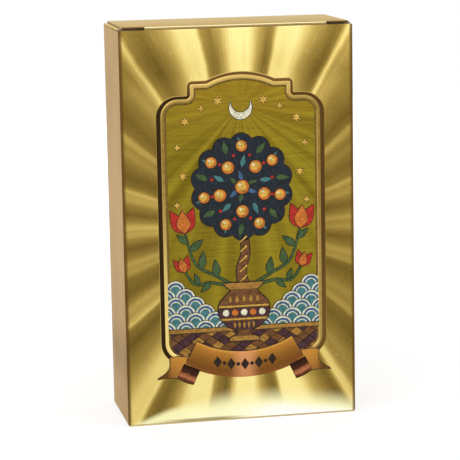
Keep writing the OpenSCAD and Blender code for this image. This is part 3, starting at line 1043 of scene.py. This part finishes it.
INKS = {
    "line": (34, 26, 18), "night": (28, 36, 44), "leaf": (66, 92, 52), "gold": (216, 172, 74),
    "orange": (200, 112, 40), "red": (184, 44, 30), "teal": (70, 122, 124), "blue": (68, 100, 136),
    "cream": (230, 224, 194), "brown": (116, 74, 38), "ochre": (170, 124, 52), "plum": (74, 44, 48),
}
INK = {name: number + 1 for number, name in enumerate(INKS)}
SKY = 0
SKY_RELIEF = 0.03
LEVEL = 0.012
PRINT_BEVEL = 0.005
LINE_W = 0.24
WINDOW_X = 24.2
WINDOW_Z = 21.5
WINDOW_INSET = 2.2
KERB_Z = 29
KERB_H = 1.2
WAVES_Z = (29.5, 60)
URN_FOOT_Z = 25.6
URN_H = 18.6
URN_STEPS = 36
MOUTH_Z = 43.4
CROWN_MIDDLE_Z = 74.5
CROWN_STRETCH = 1.04
CROWN_LOBES = 14


def motif(shape, outline, level, ink, line=LINE_W):
    """A printed form with a dark line round it, at one of the levels above the ground."""
    height = SKY_RELIEF + level * LEVEL
    if line:
        raised(shape, grown(outline, line), height, INK["line"], PRINT_BEVEL)
    raised(shape, outline, height + LEVEL, INK[ink], PRINT_BEVEL)


def leaf(x, z, length, width, angle):
    """A pointed leaf from its stalk."""
    half = curve([(0, 0), (length * 0.4, width / 2), (length, 0)], 5)
    outline = half + [(a, -b) for a, b in half[-2:0:-1]]
    c = math.cos(math.radians(angle))
    s = math.sin(math.radians(angle))
    return [(x + a * c - b * s, z + a * s + b * c) for a, b in outline]


def star(x, z, r, points, waist=0.42):
    """A pointed star."""
    outline = []
    for i in range(2 * points):
        a = math.radians(90 + 180 * i / points)
        reach = r * (waist if i % 2 else 1)
        outline.append((x + reach * math.cos(a), z + reach * math.sin(a)))
    return outline


def stroke(points, start_w, end_w):
    """A line with a width, through the points given."""
    line = curve(points)
    left, right = [], []
    for i, (x, z) in enumerate(line):
        x0, z0 = line[max(i - 1, 0)]
        x1, z1 = line[min(i + 1, len(line) - 1)]
        half = (start_w + (end_w - start_w) * i / (len(line) - 1)) / 2 / math.hypot(x1 - x0, z1 - z0)
        left.append((x - half * (z1 - z0), z + half * (x1 - x0)))
        right.append((x + half * (z1 - z0), z - half * (x1 - x0)))
    return left + right[::-1]


def tiles(shape):
    """Floor of lozenge tiles, with a kerb."""
    inks = ("brown", "plum", "ochre", "brown", "plum")
    half_w, half_h = 2.1, 1.5
    for row in range(6):
        for column in range(-7, 8):
            x = 2 * half_w * (column + row % 2 / 2)
            z = WINDOW_Z + half_h * row
            tile = [(x - half_w, z), (x, z - half_h), (x + half_w, z), (x, z + half_h)]
            tile = clipped(tile, WINDOW_X, WINDOW_Z, KERB_Z)
            if len(tile) > 2:
                motif(shape, grown(tile, -0.12), 0, inks[(2 * row + column) % len(inks)], 0.12)
    top = KERB_Z + KERB_H
    kerb = [(-WINDOW_X, KERB_Z), (WINDOW_X, KERB_Z), (WINDOW_X, top), (-WINDOW_X, top)]
    motif(shape, kerb, 15, "ochre")


def waves(shape):
    """Rows of ringed scallops behind the floor, the front row last. They rise to both sides."""
    r = 3.1
    rings = (("cream", 1), ("blue", 0.84), ("cream", 0.6), ("teal", 0.5))
    for row in range(5, -1, -1):
        z = 29.6 + row * 2.6
        for column in range(-5, 6):
            x = 2 * r * (column + row % 2 / 2)
            if z > 33 + 0.024 * x * x:
                continue
            for step, (ink, share) in enumerate(rings):
                ring = clipped(circle(x, z, r * share), WINDOW_X, *WAVES_Z)
                if len(ring) > 2:
                    motif(shape, ring, 1 + 2 * (5 - row) + 0.5 * step, ink, LINE_W if step == 0 else 0.1)


def urn_half(z):
    """Half width of the urn at a height above its foot."""
    outline = curve([(4.8, 0), (4.4, 1.1), (2.2, 2.2), (2.3, 3.4), (5.6, 5.4), (8.0, 9.0), (7.6, 12.6),
                     (4.9, 15.4), (4.2, 16.6), (5.9, 17.8), (6.2, 18.8)])
    return next(x for x, height in outline if height >= z - 1e-6)


def urn(shape):
    """Footed urn with bands, standing on the floor."""
    rise = [URN_H * i / URN_STEPS for i in range(URN_STEPS + 1)]

    def part(low, high):
        half = [(urn_half(h), URN_FOOT_Z + h) for h in rise if low <= h <= high]
        return mirrored(half)

    motif(shape, part(0, URN_H), 16, "brown", 0.34)
    for low, high, ink in ((0, 1.6, "ochre"), (3.2, 6.2, "plum"), (6.6, 7.4, "gold"), (7.4, 10.8, "plum"),
                           (10.8, 11.6, "gold"), (16.2, URN_H, "ochre")):
        motif(shape, part(low, high), 18, ink, 0.1)
    for number in range(-2, 3):
        bead = circle(number * 2.9, URN_FOOT_Z + 9.1, 1.05, 16)
        motif(shape, bead, 20, "orange" if number % 2 else "cream", 0.12)
        motif(shape, leaf(number * 2.2, URN_FOOT_Z + 12.2, 2.6, 1.3, 90), 20, "ochre", 0.12)
        motif(shape, leaf(number * 1.5, URN_FOOT_Z + 6.2, 2.4, 0.9, 270), 20, "ochre", 0.1)


def tulip(shape, x, z, angle, size):
    """A red tulip on the end of its stem."""
    for turn, ink, level in ((-26, "red", 22), (26, "red", 22), (0, "orange", 24)):
        motif(shape, leaf(x, z, size * (1 if turn else 0.86), size * 0.5, angle + turn), level, ink, 0.18)


def flowers(shape):
    """Tulips on bowed stems, on both sides of the urn's mouth."""
    for side in (1, -1):
        high = flipped([(3.0, MOUTH_Z), (8.5, 46.6), (15.2, 51.0), (18.4, 61.0)], side)
        low = flipped([(4.2, MOUTH_Z), (10.4, 44.6), (15.4, 44.4), (18.6, 48.6)], side)
        for stem in (high, low):
            motif(shape, stroke(stem, 0.9, 0.5), 14, "leaf", 0.16)
        for x, z, angle, length in ((8.2, 46.4, 82, 5.6), (13.2, 49.2, 96, 5.6), (16.8, 55.0, 140, 5.4),
                                    (17.4, 57.4, 40, 4.6), (10.4, 44.6, -40, 4.2), (14.2, 44.3, 70, 3.8)):
            turn = angle if side > 0 else 180 - angle
            motif(shape, leaf(side * x, z, length, length * 0.42, turn), 20, "leaf", 0.18)
        tulip(shape, side * 18.4, 60.6, 90 - 6 * side, 8.6)
        tulip(shape, side * 18.6, 48.4, 90 - 16 * side, 5.4)


def fruit(shape, x, z, r, level):
    """A round fruit with a rim, a paler heart and a highlight."""
    motif(shape, circle(x, z, r), level, "orange", 0.26)
    motif(shape, circle(x - 0.1 * r, z + 0.1 * r, 0.7 * r, 18), level + 1.4, "gold", 0)
    motif(shape, circle(x - 0.3 * r, z + 0.32 * r, 0.2 * r, 10), level + 2.4, "cream", 0)


def in_crown(reach, angle):
    """A point at a distance from the middle of the tree's crown, which is a little taller than wide."""
    a = math.radians(angle)
    return reach * math.cos(a), CROWN_MIDDLE_Z + CROWN_STRETCH * reach * math.sin(a)


def tree(shape):
    """Round-headed fruit tree on a twisted trunk."""
    motif(shape, stroke([(0.2, 43), (-0.7, 48), (0.8, 54), (0, 62)], 3.4, 2.2), 15, "brown", 0.3)
    for z in (45.5, 48.6, 51.7, 54.8, 57.9):
        motif(shape, stroke([(-1.2, z - 0.9), (0.1, z), (1.2, z + 1.1)], 0.3, 0.6), 17, "gold", 0.08)
    crown = []
    for i in range(CROWN_LOBES * 8):
        angle = 360 * i / (CROWN_LOBES * 8)
        bulge = abs(math.sin(math.radians(CROWN_LOBES * angle / 2)))
        crown.append(in_crown(14.6 + 1.5 * bulge, angle))
    motif(shape, crown, 16, "night", 0.35)
    leaves(shape)
    for count, reach, r, start in ((7, 12.4, 1.75, 90), (5, 7.4, 1.95, 126)):
        for i in range(count):
            fruit(shape, *in_crown(reach, start + 360 * i / count), r, 21)
    fruit(shape, 0, CROWN_MIDDLE_Z, 2.2, 21)
    for i in range(12):
        a = math.radians(15 + 30 * i)
        berry = circle(9.9 * math.cos(a), CROWN_MIDDLE_Z + 10.3 * math.sin(a), 0.5, 10)
        motif(shape, berry, 21, "red", 0.1)


def leaves(shape):
    """Three rings of leaves in the crown, turned a little to one side and the other."""
    rings = ((14, 11.0, 4.4, ("leaf", "teal")), (10, 6.0, 4.0, ("teal", "leaf")),
             (6, 1.8, 3.4, ("leaf", "blue")))
    for ring, (count, reach, length, inks) in enumerate(rings):
        for i in range(count):
            angle = 360 * (i + 0.5) / count
            turn = angle + (14 if i % 2 else -14)
            outline = leaf(*in_crown(reach, angle), length, length * 0.4, turn)
            motif(shape, outline, 18 + ring, inks[i % 2], 0.12)


def night_sky(shape):
    """Crescent under the arch, with stars round it."""
    crescent = arc(0, 99.2, 3.6, 148, 392, 24) + arc(0, 100.8, 3.05, 362, 178, 20)
    motif(shape, crescent, 2, "cream", 0.24)
    for x, z, r in ((7.2, 101.6, 1.7), (12.4, 99.4, 1.2), (17.6, 95.6, 1.6), (20.2, 87.6, 1.2),
                    (18.6, 78.6, 1.5), (20.6, 69.6, 1.2)):
        for side in (1, -1):
            motif(shape, star(side * x, z, r, 6 if r > 1.4 else 4), 2, "gold", 0.2)


def front_picture():
    """All that is printed inside the frame, on its olive ground."""
    shape = Shape()
    raised(shape, frame_outline(WINDOW_INSET), SKY_RELIEF, SKY, PRINT_BEVEL)
    for draw in (night_sky, waves, tiles, urn, flowers, tree):
        draw(shape)
    inks = [printed("ink_" + name, colour) for name, colour in INKS.items()]
    shape.piece("front_picture", (sky_ink(), *inks), "carton", "foil_sunburst")


# Pieces that keep their CAD shape

def dress_nodes():
    """Materials of the inner flaps, the cards and the booklet."""
    coats = {
        "booklet_cover": booklet_cover(), "booklet_pages": booklet_paper(), "booklet_staples": staple_wire(),
    }
    card = card_foil()
    for name, node in frame["nodes"].items():
        if name.startswith("card"):
            coats[name] = card
        if name in ("glue_flap", "bottom_inner_flap") or name.startswith("bottom_dust_flap"):
            coats[name] = INSIDE
        if name in coats:
            node.data.materials.clear()
            node.data.materials.append(coats[name])


# Stage

FLOOR_HALF = 0.9
FLOOR_Z = -0.00002
FLOOR_GREY = (0.42, 0.42, 0.42, 1)
NEAR_WHITE = 0.68
NEAR_M = 0.12
FAR_M = 0.45
AMBIENT = 0.62
CLIP_START = 0.01


def seen_rays(nodes):
    """1 for rays that show the stage to the camera, directly or through gloss, and 0 for its light."""
    path = nodes.add("LightPath").outputs
    seen = nodes.math("MAXIMUM", path["Is Camera Ray"], path["Is Glossy Ray"])
    return nodes.math("MAXIMUM", seen, path["Is Transmission Ray"])


def floor():
    """Pale floor that shows white and keeps the soft shadow."""
    mesh = bpy.data.meshes.new("floor")
    square = [(-FLOOR_HALF, -FLOOR_HALF), (FLOOR_HALF, -FLOOR_HALF), (FLOOR_HALF, FLOOR_HALF),
              (-FLOOR_HALF, FLOOR_HALF)]
    mesh.from_pydata([(x, y, FLOOR_Z) for x, y in square], [], [(0, 1, 2, 3)])
    material = bpy.data.materials.new("floor")
    material.use_nodes = True
    nodes = Nodes(material.node_tree)
    nodes.tree.nodes.clear()
    distance = nodes.add("VectorMath", nodes.add("TexCoord").outputs["Object"], operation="LENGTH")
    level = nodes.value("MapRange", distance.outputs["Value"], NEAR_M, FAR_M, NEAR_WHITE, 1.0)
    white = nodes.add("Emission")
    nodes.feed(white.inputs["Strength"], level * seen_rays(nodes))
    matt = nodes.add("BsdfDiffuse", FLOOR_GREY)
    both = nodes.add("AddShader", white.outputs[0], matt.outputs[0])
    nodes.add("OutputMaterial", both.outputs[0])
    mesh.materials.append(material)
    plane = in_scene("floor", mesh)


def world():
    """White surroundings that light the object softly."""
    sky = bpy.data.worlds.new("studio")
    bpy.context.scene.world = sky
    sky.use_nodes = True
    nodes = Nodes(sky.node_tree)
    level = nodes.value("MapRange", seen_rays(nodes), 0.0, 1.0, AMBIENT, 1.0)
    background = nodes.tree.nodes["Background"]
    background.inputs["Color"].default_value = (1, 1, 1, 1)
    nodes.feed(background.inputs["Strength"], level)


def lamp(name, place, aim, size, power):
    """A soft area lamp."""
    data = bpy.data.lights.new(name, "AREA")
    data.size = size
    data.energy = power
    lamp_object = in_scene(name, data)
    lamp_object.location = place
    lamp_object.rotation_euler = (Vector(aim) - Vector(place)).to_track_quat("-Z", "Y").to_euler()


def camera():
    """Camera at the photograph's place."""
    turn = Matrix.Identity(3)
    for angle, axis in ((CAMERA_ROLL, "Y"), (CAMERA_PITCH, "X"), (CAMERA_YAW, "Z")):
        turn = turn @ Matrix.Rotation(math.radians(angle), 3, axis)
    place = -(turn.transposed() @ Vector(CAMERA_OFFSET)) + Vector((0, FACE_Y, 0))
    data = bpy.data.cameras.new("camera")
    data.sensor_width = SENSOR_W
    data.lens = PHOTO_FOCUS / PHOTO_SIZE * SENSOR_W
    data.clip_start = CLIP_START
    view = in_scene("camera", data)
    axes = Matrix((turn[0], turn[2], -turn[1])).transposed()
    view.matrix_world = Matrix.Translation(place * MM) @ axes.to_4x4()
    bpy.context.scene.camera = view


camera()
front_and_back()
sides()
bottom()
lid()
tuck()
dust_flaps()
front_frame()
front_picture()
front_ribbon()
dress_nodes()
floor()
world()
lamp("key", (-0.45, -0.6, 0.65), (0, 0, 0.06), 1.2, 4.0)
lamp("fill", (0.6, -0.5, 0.35), (0, 0, 0.06), 0.9, 1.5)
lamp("back", (0.1, 0.75, 0.3), (0, 0, 0.12), 0.4, 0.3)
bpy.context.scene.view_settings.view_transform = "Standard"
